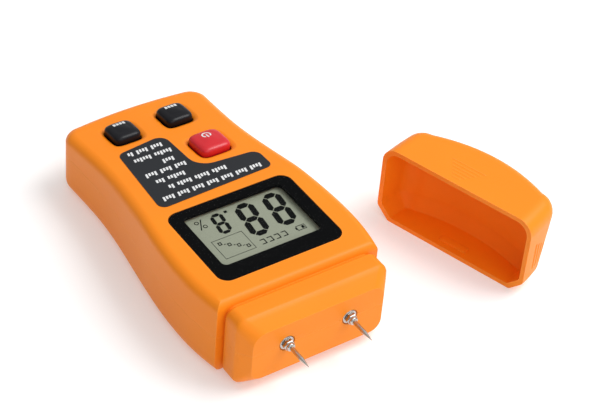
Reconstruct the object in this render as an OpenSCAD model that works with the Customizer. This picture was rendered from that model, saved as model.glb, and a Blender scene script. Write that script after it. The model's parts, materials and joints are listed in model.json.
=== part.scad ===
// Two-pin moisture meter with a loose pin cap, lying on its flat back.
// X points to the user's right, Y toward the pins, Z up out of the display.
// The origin is on the flat back, at the middle of the main body.

/* [Body] */
// Length of the main body, from the far end of the handle to the step before the neck
body_len = 104.4; // [104:0.2:106]
// Thickness of the body under the display
body_t = 28.5; // [28.2:0.1:29]
// Half width of the handle at its narrowest
handle_half = 26.1; // [25.8:0.1:26.6]
// Extra half width of the head
head_extra = 5.4; // [5:0.1:5.8]
// Drop of the handle's face for each millimetre toward the far end
face_slope = 0.105; // [0.1:0.001:0.108]
// Wall thickness of the two covers
wall = 2; // [1.9:0.05:2.05]
// Height of the joint between the two covers, which is also the height of the pins
split_z = 15.1; // [15:0.05:15.3]

/* [Neck and pins] */
// Half width of the neck that carries the pins
neck_half = 27.4; // [27:0.1:27.4]
// Length of the neck in front of the step
neck_len = 12; // [11.5:0.1:12.2]
// Distance between the two pins
pin_pitch = 23; // [22.5:0.1:23.5]
// Diameter of each needle
pin_d = 1.5; // [1.3:0.1:1.7]
// Length of each needle in front of its collar, with the point
pin_len = 9.2; // [8:0.1:9.4]

/* [Display] */
// Width of the display window
window_w = 45.2; // [44:0.2:46]
// Height of the display window
window_h = 34.8; // [34:0.2:35.4]
// Distance from the origin to the middle of the window
window_y = 27; // [26.8:0.1:27.2]

/* [Buttons] */
// Width of the power button
power_size = 11.2; // [10.8:0.1:12]
// Width of the mode and hold buttons
small_size = 9.9; // [9.6:0.1:10.6]
// How far each button travels
press_travel = 0.5; // [0.3:0.05:0.5]

/* [Cap] */
// Width of the cap across its mouth
cap_w = 58.6; // [58.4:0.1:59.4]
// Height of the cap
cap_h = 29.6; // [29.5:0.1:30.2]
// Depth of the cap from its mouth to its closed end
cap_depth = 24; // [23.6:0.1:25.4]
// How far the foot of its closed end leans in
cap_lean = 9; // [7:0.5:10]
// Where the middle of the cap's mouth lies, beside the meter
cap_at = [-67, 42.8]; // [-80:0.1:80]
// Turn of the cap from the way it sits on the neck
cap_turn = 107.8; // [100:0.1:115]

/* [Hidden] */
$fn = 48;

// Ends of the main body and the line where the face starts to slope down
y_front = body_len / 2;
y_far = -body_len / 2;
y_break = 8;
slope_deg = atan(face_slope);

// Plan of the body: waist, shoulders and flared far end
waist_y = -28;
waist_len = 60;
shoulder_y = 34;
shoulder_in = 2.2;
flare_y = -25;
flare_out = 1;
far_r = 6.5;
far_sag = 1.3;

// Rounded edges: bevel around the face, round under the back, soft front step
bevel_w = 3.6;
bevel_h = 3.1;
back_r = 4.6;
step_soft = 0.25;

// Neck
neck_drop = 1.3;
neck_lift = 1.3;
neck_y = y_front + neck_len;
neck_corner = 4.2;
neck_bevel = 4.8;
neck_top_r = 3.6;
neck_low_r = 3;

// Pins, collars and sockets
socket_d = 5;
socket_y0 = 54;
socket_y1 = neck_y - wall;
shank_d = 2.4;
collar_af = 4;
collar_y0 = neck_y - 0.6;
collar_y1 = neck_y + 1.6;
ferrule_d = 2.9;
ferrule_y = collar_y1 + 1;
tip_y = ferrule_y + pin_len;
point_len = 4.2;

// Window, lens and display
lens_t = 1;
border_t = 0.2;
window_r = 4;
view_w = 36.2;
view_y0 = -13.8;
view_y1 = 10.9;
view_r = 1.8;
lcd_w = 41;
lcd_h = 30;
lcd_t = 2.8;
lcd_z = body_t - wall - 0.1 - lcd_t;
board_top = 21.4;
board_t = 1.2;

// Buttons: places of their middles on the sloped face
power_at = [-10.9, -17.5];
mode_at = [-9.9, -38];
hold_at = [9.9, -38];
button_h = 2.6;
gap = 0.3;
flange_w = 1;
flange_t = 0.8;
button_board_z = 4.4;
button_board_t = 1;
switch_h = 1.5;
switch_floor = 0.15;
well_d = 2.1;
stem_z = wall + 0.2;

// Battery door and battery
door_half = 15.2;
door_y = 20;
door_t = 1.6;
battery_w = 26.5;
battery_t = 17.5;
battery_len = 46.4;
battery_y0 = -26.4;
battery_z0 = 1.75;

// Screws
post_d = 6;
post_bore = 2.6;
head_d = 4.4;
head_t = 1.8;
sink_d = 5;
sink_z = 6;
shank_out = 5.6;
pilot_d = 2.3;
board_post_d = 4.2;
board_pilot_d = 1.9;
board_hole_d = 2.2;
case_screw_at = [[24.5, 46.6], [-24.5, 46.6], [20.3, -45.6], [-20.3, -45.6]];
board_screw_at = [[18, 7], [-18, 7], [18, 46.8], [-18, 46.8]];
slope_screw_at = [[0, -44.5], [0, -31], [12, -14]];

// Cap
cap_wall = 1.6;
cap_taper = 0.6;
cap_r = 7;
cap_sag = 4.8;
cap_top_r = 5.6;
cap_chamfer = 4.8;
groove_y = 4.5;
groove_pitch = 1.8;
groove_deep = 0.5;
groove_w = 0.9;
groove_z = 8;
groove_len = 11;
catch_w = 10;
ridge_x = -2.5;
ridge_y = 2.6;
ridge_pitch = 1.5;
ridge_w = 0.7;

orange = [0.96, 0.50, 0.12];
steel = [0.76, 0.77, 0.78];
brass = [0.80, 0.66, 0.30];
black = [0.07, 0.07, 0.08];
board_green = [0.10, 0.38, 0.22];

// ---- helpers

function smooth(t) = let (c = max(0, min(1, t))) c * c * (3 - 2 * c);

// Height of the face at y
function face_z(y) = body_t - face_slope * max(0, y_break - y);

// Half width of the body at y
function half_w(y) = handle_half
    + head_extra * smooth((y - waist_y) / waist_len)
    - shoulder_in * pow(max(0, (y - shoulder_y) / (y_front - shoulder_y)), 2)
    + flare_out * pow(max(0, (flare_y - y) / (flare_y - y_far)), 2);

// Right half of a plan outline from the front to the middle of the far end:
// a side whose half width is a list of [x, y], a round corner and a bowed end
function corner_arc(cx, cy, r, steps) =
    [for (i = [1:steps]) [cx + r * cos(90 * i / steps), cy - r * sin(90 * i / steps)]];

function bowed_end(cx, y, sag, steps) =
    [for (i = [1:steps]) let (x = cx * (1 - i / (steps + 0.5))) [x, y - sag * (1 - pow(x / cx, 2))]];

// Both halves, so that point i and point (last - i) lie across from each other
function both_sides(h) = concat(h, [for (i = [len(h) - 1:-1:0]) [-h[i][0], h[i][1]]]);

// Plan of the body moved in by d at the sides and by f at the front
function body_plan(d, f) =
    let (
        wc = half_w(y_far + far_r + far_sag),
        y0 = y_front - f,
        y1 = y_far + far_r + far_sag,
        steps = 20
    )
    both_sides(concat(
        [for (i = [0:steps]) let (y = y0 + (y1 - y0) * i / steps) [half_w(y) - d, y]],
        corner_arc(wc - far_r, y1, far_r - d, 5),
        bowed_end(wc - far_r, y_far + far_sag + d, far_sag, 3)
    ));

function flat_ring(plan, z) = [for (p = plan) [p[0], p[1], z]];
function face_ring(plan, drop) = [for (p = plan) [p[0], p[1], face_z(p[1]) - drop]];

// Closed skin through rings of equal length, with a flat cap on the first and the last
module loft(rings, flip = false) {
    n = len(rings[0]);
    last = (len(rings) - 1) * n;
    skin = [
        for (r = [0:len(rings) - 2], i = [0:n - 1])
            let (j = (i + 1) % n)
            each [[r * n + i, r * n + j, r * n + n + j], [r * n + i, r * n + n + j, r * n + n + i]]
    ];
    cap0 = [for (i = [0:n / 2 - 2]) [n - 1 - i, n - 2 - i, i + 1, i]];
    cap1 = [for (i = [0:n / 2 - 2]) [last + i, last + i + 1, last + n - 2 - i, last + n - 1 - i]];
    faces = concat(skin, cap0, cap1);
    polyhedron(
        points = [for (r = rings) each r],
        faces = flip ? [for (f = faces) [for (i = [len(f) - 1:-1:0]) f[i]]] : faces
    );
}

// Rectangle with round corners, about its middle
module round_rect(w, h, r) {
    steps = 5;
    polygon([
        for (q = [0:3], i = [0:steps])
            let (a = 90 * (q + i / steps), sx = q == 0 || q == 3 ? 1 : -1, sy = q < 2 ? 1 : -1)
            [sx * (w / 2 - r) + r * cos(a), sy * (h / 2 - r) + r * sin(a)]
    ]);
}

// A place on the face, with Z along the face's normal
module on_face(at) {
    translate([at[0], at[1], face_z(at[1])])
        rotate([slope_deg, 0, 0])
            children();
}

// A cylinder along +Y from y0 to y1 at the pin height
module along_y(x, y0, y1, d) {
    translate([x, y0, split_z])
        rotate([-90, 0, 0])
            cylinder(h = y1 - y0, d = d);
}

// ---- neck

// The neck's solid, moved in by g all round and started at y0
module neck(g, y0) {
    z0 = neck_lift + g;
    z1 = body_t - neck_drop - g;
    hw = neck_half - g;
    y1 = neck_y - g;
    c = neck_corner - g / 2;
    b = neck_bevel - g / 2;
    intersection() {
        linear_extrude(body_t)
            polygon([[-hw, y0], [hw, y0], [hw, y1 - c], [hw - c, y1], [c - hw, y1], [-hw, y1 - c]]);
        translate([-hw, 0, 0])
            rotate([90, 0, 90])
                linear_extrude(2 * hw)
                    polygon([[y0, z0], [y1 - b, z0], [y1, z0 + b], [y1, z1 - b], [y1 - b, z1], [y0, z1]]);
        translate([0, y1, 0])
            rotate([90, 0, 0])
                linear_extrude(y1 - y0)
                    polygon([
                        [-hw, z0 + neck_low_r], [neck_low_r - hw, z0], [hw - neck_low_r, z0],
                        [hw, z0 + neck_low_r], [hw, z1 - neck_top_r], [hw - neck_top_r, z1],
                        [neck_top_r - hw, z1], [-hw, z1 - neck_top_r]
                    ]);
    }
}

// Everything above (up = 1) or below (up = 0) the joint between the covers
module half_space(up) {
    translate([-40, 40, up * split_z])
        cube([80, 40, up == 1 ? body_t - split_z : split_z]);
}

// Round bosses that hold the two sockets
module socket_bosses() {
    for (s = [-1, 1])
        along_y(s * pin_pitch / 2, socket_y0 + 0.2, socket_y1 + 0.2, socket_d + 3.4);
}

module socket_bores() {
    for (s = [-1, 1]) {
        along_y(s * pin_pitch / 2, socket_y0 - 1, socket_y1, socket_d + 0.1);
        along_y(s * pin_pitch / 2, socket_y1 - 1, neck_y + 1, shank_d + 0.2);
        along_y(s * pin_pitch / 2, collar_y0, neck_y + 1, collar_af + 1.4);
    }
}

// ---- covers

function bevel_ring(a) =
    let (d = bevel_w * (1 - sin(a)))
    face_ring(body_plan(d, step_soft * d), bevel_h * (1 - cos(a)));

function back_ring(a) =
    let (d = back_r * (1 - sin(a)))
    flat_ring(body_plan(d, step_soft * d), back_r * (1 - cos(a)));

module front_cover() {
    color(orange)
        difference() {
            union() {
                difference() {
                    union() {
                        loft(concat(
                            [for (a = [0:30:90]) bevel_ring(a)],
                            [
                                flat_ring(body_plan(0, 0), split_z),
                                flat_ring(body_plan(wall, wall), split_z),
                                face_ring(body_plan(wall, wall), wall + 2.2),
                                face_ring(body_plan(wall + 2, wall + 0.5), wall)
                            ]
                        ), flip = true);
                        intersection() {
                            neck(0, y_front - 1);
                            half_space(1);
                        }
                    }
                    intersection() {
                        neck(wall, y_front - 3);
                        half_space(1);
                    }
                }
                intersection() {
                    socket_bosses();
                    half_space(1);
                }
                for (p = case_screw_at)
                    translate([p[0], p[1], split_z])
                        cylinder(h = face_z(p[1]) - wall + 0.3 - split_z, d = post_d);
                for (p = board_screw_at)
                    translate([p[0], p[1], board_top])
                        cylinder(h = face_z(p[1]) - wall + 0.3 - board_top, d = board_post_d);
                for (p = slope_screw_at)
                    on_face(p)
                        translate([0, 0, -button_board_z])
                            cylinder(h = button_board_z - wall + 0.3, d = board_post_d);
            }
            translate([0, window_y, body_t - lens_t - border_t])
                linear_extrude(5)
                    round_rect(window_w + 0.2, window_h + 0.2, window_r);
            translate([0, window_y + (view_y0 + view_y1) / 2, body_t - 5])
                linear_extrude(6)
                    round_rect(view_w + 2, view_y1 - view_y0 + 2, view_r);
            button_opening(power_at, power_size);
            button_opening(mode_at, small_size);
            button_opening(hold_at, small_size);
            socket_bores();
            for (p = case_screw_at)
                translate([p[0], p[1], split_z - 1])
                    cylinder(h = 7.5, d = pilot_d);
            for (p = board_screw_at)
                translate([p[0], p[1], board_top - 1])
                    cylinder(h = 4.5, d = board_pilot_d);
            for (p = slope_screw_at)
                on_face(p)
                    translate([0, 0, -button_board_z - 1])
                        cylinder(h = 3, d = board_pilot_d);
        }
}

// Hole for a button, with a shallow dished surround
module button_opening(at, size) {
    on_face(at) {
        translate([0, 0, -6])
            linear_extrude(8)
                round_rect(size + 2 * gap, size + 2 * gap, 2.6);
        translate([0, 0, -0.5])
            linear_extrude(2)
                round_rect(size + 3, size + 3, 3.6);
    }
}

module rear_cover() {
    color(orange)
        difference() {
            union() {
                difference() {
                    union() {
                        loft(concat(
                            [for (a = [0:30:90]) back_ring(a)],
                            [
                                flat_ring(body_plan(0, 0), split_z),
                                flat_ring(body_plan(wall, wall), split_z),
                                flat_ring(body_plan(wall, wall), wall + 3.2),
                                flat_ring(body_plan(wall + 2.6, wall + 0.5), wall)
                            ]
                        ));
                        intersection() {
                            neck(0, y_front - 1);
                            half_space(0);
                        }
                    }
                    intersection() {
                        neck(wall, y_front - 3);
                        half_space(0);
                    }
                }
                intersection() {
                    socket_bosses();
                    half_space(0);
                }
                for (p = case_screw_at)
                    translate([p[0], p[1], wall - 0.3])
                        cylinder(h = split_z - wall + 0.3, d = post_d);
                door_rails();
            }
            door_channel();
            socket_bores();
            for (p = case_screw_at)
                translate([p[0], p[1], -1]) {
                    cylinder(h = split_z + 2, d = post_bore);
                    cylinder(h = sink_z + 1, d = sink_d);
                }
            translate([-5.3, y_front + 2, neck_lift - 1])
                cube([10.6, 3, 1.5]);
        }
}

// Ledges above the door's edges and the walls of the battery bay that stand on them
module door_rails() {
    bay_half = battery_w / 2 + 0.5;
    bay_y1 = battery_y0 + battery_len + 0.4;
    for (s = [-1, 1]) {
        translate([s > 0 ? bay_half : -bay_half - 4, y_far + 2.5, wall - 0.05])
            cube([4, door_y - y_far - 1, 1.4]);
        translate([s > 0 ? bay_half : -bay_half - 1.2, battery_y0 - 1.6, wall])
            cube([1.2, bay_y1 - battery_y0 + 1.6, 12]);
    }
    translate([-bay_half, battery_y0 - 1.6, wall + 0.2])
        cube([2 * bay_half, 1.2, 11.8]);
}

// The way that the door slides along, open at the far end
module door_channel() {
    clear = 0.2;
    translate([-door_half - gap, y_far - 5, -1])
        cube([2 * (door_half + gap), door_y + clear - y_far + 5, 1 + wall]);
    translate([-door_half - 1.5, y_far - 5, 0.8])
        cube([2 * (door_half + 1.5), door_y + clear - y_far + 5, wall - 0.8]);
}

module battery_door() {
    color(orange)
        difference() {
            intersection() {
                loft(concat(
                    [for (a = [0:30:90]) back_ring(a)],
                    [flat_ring(body_plan(0, 0), split_z)]
                ));
                union() {
                    translate([-door_half, y_far - 5, 0])
                        cube([2 * door_half, door_y - y_far + 5, door_t]);
                    translate([-door_half - 1.2, y_far - 5, 1])
                        cube([2 * door_half + 2.4, door_y - y_far + 5, door_t - 1]);
                }
            }
            for (i = [0:4])
                translate([-6 + i, -34 + 3 * i, -0.4])
                    cube([12 - 2 * i, 1.2, 1]);
        }
}

// ---- cap

// Half width of the cap at a depth behind its mouth
function cap_half(depth) = cap_w / 2 - cap_taper * pow(depth / (cap_depth - cap_r - cap_sag), 2);

// Plan of the cap with its mouth along y = y0, moved in by d
function cap_plan(w, depth, d, y0) =
    let (
        r = cap_r,
        ye = depth - r - cap_sag,
        steps = 6,
        wc = w - cap_taper
    )
    both_sides([
        for (p = concat(
            [for (i = [0:steps]) let (t = i / steps) [w - cap_taper * t * t - d, -(y0 + (ye - y0) * t)]],
            corner_arc(wc - r, -ye, r - d, 6),
            bowed_end(wc - r, -depth + cap_sag + d, cap_sag, 5)
        )) [p[0], -p[1]]
    ]);

// Ring of the cap at a height, drawn in by the lean of the closed end
function cap_ring(plan, z) =
    let (k = 1 - cap_lean / cap_depth * (1 - z / cap_h))
    [for (p = plan) [p[0], p[1] * k, z]];

module cap_solid(w, depth, z0, z1, low, top_r, y0) {
    loft(concat(
        [
            cap_ring(cap_plan(w, depth, low, y0), z0),
            cap_ring(cap_plan(w, depth, 0, y0), z0 + low)
        ],
        [
            for (a = [90:-22.5:0])
                cap_ring(cap_plan(w, depth, top_r * (1 - sin(a)), y0), z1 - top_r * (1 - cos(a)))
        ]
    ), flip = true);
}

module cap_shape() {
    difference() {
        cap_solid(cap_w / 2, cap_depth, 0, cap_h, cap_chamfer, cap_top_r, 0);
        cap_solid(cap_w / 2 - cap_wall, cap_depth - cap_wall, cap_wall, cap_h - cap_wall,
            cap_chamfer - 0.6, cap_top_r - 1, -2);
        for (s = [-1, 1], i = [0:3]) {
            depth = groove_y + groove_pitch * i;
            translate([s * cap_half(depth) - groove_deep, depth, groove_z])
                cube([2 * groove_deep, groove_w, groove_len - i]);
        }
        for (i = [0:5])
            translate([ridge_x - 1.2 - i, ridge_y + ridge_pitch * i, cap_h - 0.3])
                cube([2.4 + 2 * i, ridge_w, 1]);
    }
    translate([-catch_w / 2, 2.6, cap_wall - 0.2])
        cube([catch_w, 2.2, 0.55]);
}

module pin_cap() {
    color(orange)
        translate([cap_at[0], cap_at[1], 0])
            rotate([0, 0, cap_turn])
                cap_shape();
}

// ---- window and label

module display_lens() {
    color([0.8, 0.85, 0.85, 0.35])
        translate([0, window_y, body_t - lens_t])
            linear_extrude(lens_t)
                round_rect(window_w, window_h, window_r);
}

module window_border() {
    color(black)
        translate([0, window_y, body_t - lens_t - border_t])
            linear_extrude(border_t)
                difference() {
                    round_rect(window_w, window_h, window_r);
                    translate([0, (view_y0 + view_y1) / 2])
                        round_rect(view_w, view_y1 - view_y0, view_r);
                }
}

// The sticker: a wide band with a leg down the right-hand side
module species_label() {
    color([0.16, 0.17, 0.18])
        on_face([0, -12])
            linear_extrude(0.15)
                offset(r = -2.2)
                    offset(r = 4.8)
                        offset(r = -2.6)
                            polygon([
                                [-21.4, 16.4], [21.3, 18], [17.6, -15.6], [-0.5, -17.9],
                                [-0.5, 4.2], [-21.8, 6.4]
                            ]);
}

// ---- buttons

module button(at, size, tint) {
    color(tint)
        on_face(at) {
            difference() {
                union() {
                    hull() {
                        translate([0, 0, -0.6])
                            linear_extrude(1.2)
                                round_rect(size, size, 2.4);
                        translate([0, 0, button_h - 0.9])
                            linear_extrude(0.2)
                                round_rect(size - 1.2, size - 1.2, 2.2);
                        translate([0, 0, button_h - 0.2])
                            linear_extrude(0.2)
                                round_rect(size - 3.6, size - 3.6, 1.6);
                    }
                    translate([0, 0, -wall - 0.6])
                        linear_extrude(wall + 0.2)
                            round_rect(size, size, 2.4);
                    translate([0, 0, -wall - 0.15 - flange_t])
                        linear_extrude(flange_t)
                            round_rect(size + 2 * flange_w, size + 2 * flange_w, 2.8);
                }
                translate([-3.4, -3.4, -5])
                    cube([6.8, 6.8, 5.3]);
            }
            translate([0, 0, -stem_z])
                cylinder(h = wall + 0.6, d = 2.6);
        }
}

module power_button() {
    button(power_at, power_size, [0.85, 0.10, 0.13]);
}

module mode_button() {
    button(mode_at, small_size, black);
}

module hold_button() {
    button(hold_at, small_size, black);
}

// The moving part of a push switch, under a button's stem, with room to travel in its well
module plunger(at) {
    low = button_board_z - switch_floor - 0.15 - press_travel;
    color(black)
        on_face(at)
            translate([0, 0, -low])
                cylinder(h = low - stem_z, d = well_d - 0.2);
}

module power_plunger() {
    plunger(power_at);
}

module mode_plunger() {
    plunger(mode_at);
}

module hold_plunger() {
    plunger(hold_at);
}

module tact_switches() {
    color(steel)
        for (at = [power_at, mode_at, hold_at])
            on_face(at)
                difference() {
                    translate([-2.25, -2.25, -button_board_z])
                        cube([4.5, 4.5, switch_h]);
                    translate([0, 0, -button_board_z + switch_floor])
                        cylinder(h = switch_h + 1, d = well_d);
                }
}

// ---- pins

module pin(s) {
    x = s * pin_pitch / 2;
    color(steel) {
        along_y(x, socket_y0 + 2, ferrule_y, shank_d);
        along_y(x, ferrule_y, tip_y - point_len, pin_d);
        translate([x, tip_y - point_len, split_z])
            rotate([-90, 0, 0])
                cylinder(h = point_len, d1 = pin_d, d2 = 0.1);
    }
}

module pin_left() {
    pin(-1);
}

module pin_right() {
    pin(1);
}

// Hexagonal nut with a round ferrule in front of it
module pin_collar(s) {
    x = s * pin_pitch / 2;
    bore = shank_d + 0.06;
    color(steel)
        difference() {
            union() {
                translate([x, collar_y0, split_z])
                    rotate([-90, 0, 0])
                        cylinder(h = collar_y1 - collar_y0, d = collar_af / cos(30), $fn = 6);
                along_y(x, collar_y1, ferrule_y, ferrule_d);
            }
            along_y(x, collar_y0 - 1, ferrule_y + 1, bore);
        }
}

module pin_collar_left() {
    pin_collar(-1);
}

module pin_collar_right() {
    pin_collar(1);
}

module socket(s) {
    x = s * pin_pitch / 2;
    color(brass)
        difference() {
            along_y(x, socket_y0, socket_y1, socket_d);
            along_y(x, socket_y0 + 1.5, socket_y1 + 1, shank_d + 0.06);
        }
}

module socket_left() {
    socket(-1);
}

module socket_right() {
    socket(1);
}

// ---- display stack and boards

module lcd_panel() {
    color([0.66, 0.68, 0.58])
        translate([-lcd_w / 2, window_y - lcd_h / 2 - 1, lcd_z])
            cube([lcd_w, lcd_h, lcd_t]);
}

module lcd_frame() {
    color([0.85, 0.85, 0.83])
        translate([0, window_y - 1, board_top])
            linear_extrude(body_t - wall - 0.1 - board_top)
                difference() {
                    square([lcd_w + 3.4, lcd_h + 3.4], center = true);
                    square([lcd_w + 0.4, lcd_h + 0.4], center = true);
                }
}

module zebra_strips() {
    color([0.85, 0.35, 0.55])
        for (s = [-1, 1])
            translate([-18, window_y - 1 + s * (lcd_h / 2 - 1.2) - 0.9, board_top])
                cube([36, 1.8, lcd_z - board_top]);
}

module main_board() {
    color(board_green)
        difference() {
            translate([-21, 4.5, board_top - board_t])
                cube([42, 44.5, board_t]);
            for (p = board_screw_at)
                translate([p[0], p[1], board_top - 3])
                    cylinder(h = 5, d = board_hole_d);
        }
}

module button_board() {
    at = [0, -27];
    color(board_green)
        difference() {
            on_face(at)
                translate([-16.8, -19.5, -button_board_z - button_board_t])
                    cube([33.6, 38, button_board_t]);
            for (p = slope_screw_at)
                on_face(p)
                    translate([0, 0, -button_board_z - 3])
                        cylinder(h = 4, d = board_hole_d);
        }
}

// Flat cable that joins the two boards, lying on top of both
module board_ribbon() {
    drop = button_board_z / cos(slope_deg);
    ribbon_x = -14;
    y0 = -12;
    y1 = -8;
    z0 = face_z(y0) - drop + 0.02;
    z1 = face_z(y1) - drop + 0.02;
    t = 0.3;
    color([0.9, 0.9, 0.88])
        translate([ribbon_x, 0, 0])
            rotate([90, 0, 90])
                linear_extrude(10)
                    polygon([
                        [y0, z0], [y1, z1], [4.5, board_top], [7.5, board_top],
                        [7.5, board_top + t], [4.5, board_top + t], [y1, z1 + t], [y0, z0 + t]
                    ]);
}

module controller_chip() {
    color(black)
        translate([-5, 30, board_top - board_t - 1.4])
            cube([10, 10, 1.4]);
}

// ---- battery

battery_y1 = battery_y0 + battery_len;
terminal_x = 6.35;
terminal_z = battery_z0 + battery_t / 2;

module terminal(x, d, grow = 0) {
    translate([x, battery_y1 - 0.01, terminal_z])
        rotate([-90, 0, 0])
            cylinder(h = 2.1 + grow, d = d);
}

module battery() {
    color([0.25, 0.27, 0.30]) {
        translate([-battery_w / 2, battery_y0, battery_z0])
            cube([battery_w, battery_len, battery_t]);
        terminal(-terminal_x, 5.6);
        terminal(terminal_x, 8);
    }
}

module battery_snap() {
    color(black)
        difference() {
            translate([-12.5, battery_y1 + 0.2, terminal_z - 6])
                cube([25, 3.6, 12]);
            terminal(-terminal_x, 6, 0.3);
            terminal(terminal_x, 8.4, 0.3);
        }
}

// A wire that runs along Y and turns up to the main board
module lead(x, y0, y1, z0, d) {
    r = 2;
    dir = y1 > y0 ? 1 : -1;
    top = board_top - board_t;
    translate([x, y0, z0])
        rotate([-90 * dir, 0, 0])
            cylinder(h = abs(y1 - y0) - r, d = d);
    translate([x, y1 - dir * r, z0 + r])
        rotate([0, 90, 0])
            rotate([0, 0, dir > 0 ? 0 : -90])
                rotate_extrude(angle = 90)
                    translate([r, 0])
                        circle(d = d, $fn = 16);
    translate([x, y1, z0 + r])
        cylinder(h = top - z0 - r, d = d);
}

module battery_leads() {
    color([0.75, 0.08, 0.08])
        lead(4, battery_y1 + 3.8, 27, terminal_z, 1.3);
    color(black)
        lead(-4, battery_y1 + 3.8, 27, terminal_z, 1.3);
}

module pin_leads() {
    color([0.85, 0.85, 0.85])
        for (s = [-1, 1])
            lead(s * pin_pitch / 2, socket_y0, 44.5, split_z, 1.2);
}

module battery_pad() {
    color([0.3, 0.3, 0.32])
        translate([-11, battery_y0 - 0.4 + 6, battery_z0 + battery_t])
            cube([22, 14, 0.2]);
}

// ---- screws

module case_screws() {
    color(steel)
        for (p = case_screw_at)
            translate([p[0], p[1], sink_z - head_t])
                difference() {
                    union() {
                        cylinder(h = head_t, d = head_d);
                        cylinder(h = head_t + split_z - sink_z + shank_out, d = pilot_d - 0.1);
                    }
                    translate([0, 0, -1])
                        cylinder(h = 2, d = 1.8, $fn = 4);
                }
}

module board_screw() {
    translate([0, 0, -1])
        cylinder(h = 1, d = 3.4);
    cylinder(h = 4.2, d = board_pilot_d - 0.1);
}

module board_screws() {
    color(steel) {
        for (p = board_screw_at)
            translate([p[0], p[1], board_top - board_t])
                board_screw();
        for (p = slope_screw_at)
            on_face(p)
                translate([0, 0, -button_board_z - button_board_t])
                    intersection() {
                        board_screw();
                        translate([-3, -3, -2])
                            cube([6, 6, 5]);
                    }
    }
}

front_cover();
rear_cover();
battery_door();
pin_cap();
display_lens();
window_border();
species_label();
power_button();
mode_button();
hold_button();
power_plunger();
mode_plunger();
hold_plunger();
pin_left();
pin_right();
pin_collar_left();
pin_collar_right();
socket_left();
socket_right();
lcd_panel();
lcd_frame();
zebra_strips();
main_board();
button_board();
board_ribbon();
controller_chip();
tact_switches();
battery();
battery_snap();
battery_leads();
pin_leads();
battery_pad();
case_screws();
board_screws();
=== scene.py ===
# %% [markdown]
# # A two-pin moisture meter
# The meter is an orange moulded case with a display, three soft keys, a dark sticker and two needles in a
# short neck. Its cap lies beside it. The engineering model is loaded first and fixes where everything is,
# so each piece below is only made to look right in the place that the frame gives it.

import json
import math

import bmesh
import bpy
from mathutils import Matrix, Vector
from mathutils.bvhtree import BVHTree

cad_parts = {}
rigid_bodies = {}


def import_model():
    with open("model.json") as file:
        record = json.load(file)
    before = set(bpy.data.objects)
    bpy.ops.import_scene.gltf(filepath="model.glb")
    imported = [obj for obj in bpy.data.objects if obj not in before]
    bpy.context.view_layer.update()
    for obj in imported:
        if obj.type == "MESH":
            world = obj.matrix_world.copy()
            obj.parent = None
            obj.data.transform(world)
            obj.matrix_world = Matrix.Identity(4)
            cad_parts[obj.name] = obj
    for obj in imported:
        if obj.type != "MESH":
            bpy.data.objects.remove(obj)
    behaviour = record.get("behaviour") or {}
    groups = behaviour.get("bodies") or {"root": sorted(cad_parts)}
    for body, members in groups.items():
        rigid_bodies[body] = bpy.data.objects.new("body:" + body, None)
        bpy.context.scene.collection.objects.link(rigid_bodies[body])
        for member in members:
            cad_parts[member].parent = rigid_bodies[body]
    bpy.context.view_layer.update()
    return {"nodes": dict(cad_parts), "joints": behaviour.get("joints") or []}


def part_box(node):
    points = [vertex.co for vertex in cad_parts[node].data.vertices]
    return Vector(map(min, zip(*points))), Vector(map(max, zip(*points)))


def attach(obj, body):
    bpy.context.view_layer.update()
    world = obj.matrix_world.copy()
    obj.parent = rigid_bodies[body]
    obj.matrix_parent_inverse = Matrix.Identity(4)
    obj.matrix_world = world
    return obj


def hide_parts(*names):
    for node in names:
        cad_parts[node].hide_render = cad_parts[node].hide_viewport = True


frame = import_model()
MM = 0.001
print("nodes loaded:", len(frame["nodes"]))

# %% [markdown]
# ## Sizes
# Shapes are worked out in millimetres. The outer corners of the CAD nodes give most of the sizes, and the
# few named values after them describe roundings and slopes that a box cannot tell.

# %% Sizes
def corners(node):
    low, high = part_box(node)
    return low / MM, high / MM


def middle(node):
    low, high = corners(node)
    return (low + high) / 2


case_low, case_high = corners("front_cover")
BODY_T = case_high.z
SPLIT_Z = case_low.z
Y_FAR = case_low.y
Y_FRONT = -Y_FAR
NECK_Y = case_high.y
WALL = 2.0
HANDLE_HALF = 26.1
HEAD_EXTRA = 5.4
FACE_SLOPE = 0.105
Y_BREAK = 8.0
TILT = math.atan(FACE_SLOPE)
PIN_X = middle("pin_right").x
print(f"body {Y_FRONT - Y_FAR:.1f} long, {case_high.x - case_low.x:.1f} wide, {BODY_T:.1f} thick")

# %% [markdown]
# ## Mesh helpers
# Nearly every shape here is a loft: closed rings of points, joined by four-sided faces. A ring has the same
# number of points on its left and right half, so the two ends can be closed by strips that run across.
# That keeps the large faces tidy, which matters once holes are cut in them.

# %% Mesh helpers
def new_object(name, mesh):
    obj = bpy.data.objects.new(name, mesh)
    bpy.context.scene.collection.objects.link(obj)
    return obj


def mesh_object(name, points, faces, place=None):
    """A mesh from points in millimetres, moved by an optional matrix that is in millimetres too."""
    mesh = bpy.data.meshes.new(name)
    spots = [place @ Vector(p) if place else Vector(p) for p in points]
    mesh.from_pydata([p * MM for p in spots], [], faces)
    bm = bmesh.new()
    bm.from_mesh(mesh)
    bmesh.ops.recalc_face_normals(bm, faces=bm.faces)
    bm.to_mesh(mesh)
    bm.free()
    return new_object(name, mesh)


def loft_faces(count, n):
    faces = []
    for r in range(count - 1):
        for i in range(n):
            j = (i + 1) % n
            faces.append((r * n + i, r * n + j, (r + 1) * n + j, (r + 1) * n + i))
    last = (count - 1) * n
    for i in range(n // 2 - 1):
        faces.append((n - 1 - i, n - 2 - i, i + 1, i))
        faces.append((last + i, last + i + 1, last + n - 2 - i, last + n - 1 - i))
    return faces


def loft(name, rings, place=None):
    points = [p for ring in rings for p in ring]
    return mesh_object(name, points, loft_faces(len(rings), len(rings[0])), place)


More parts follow.
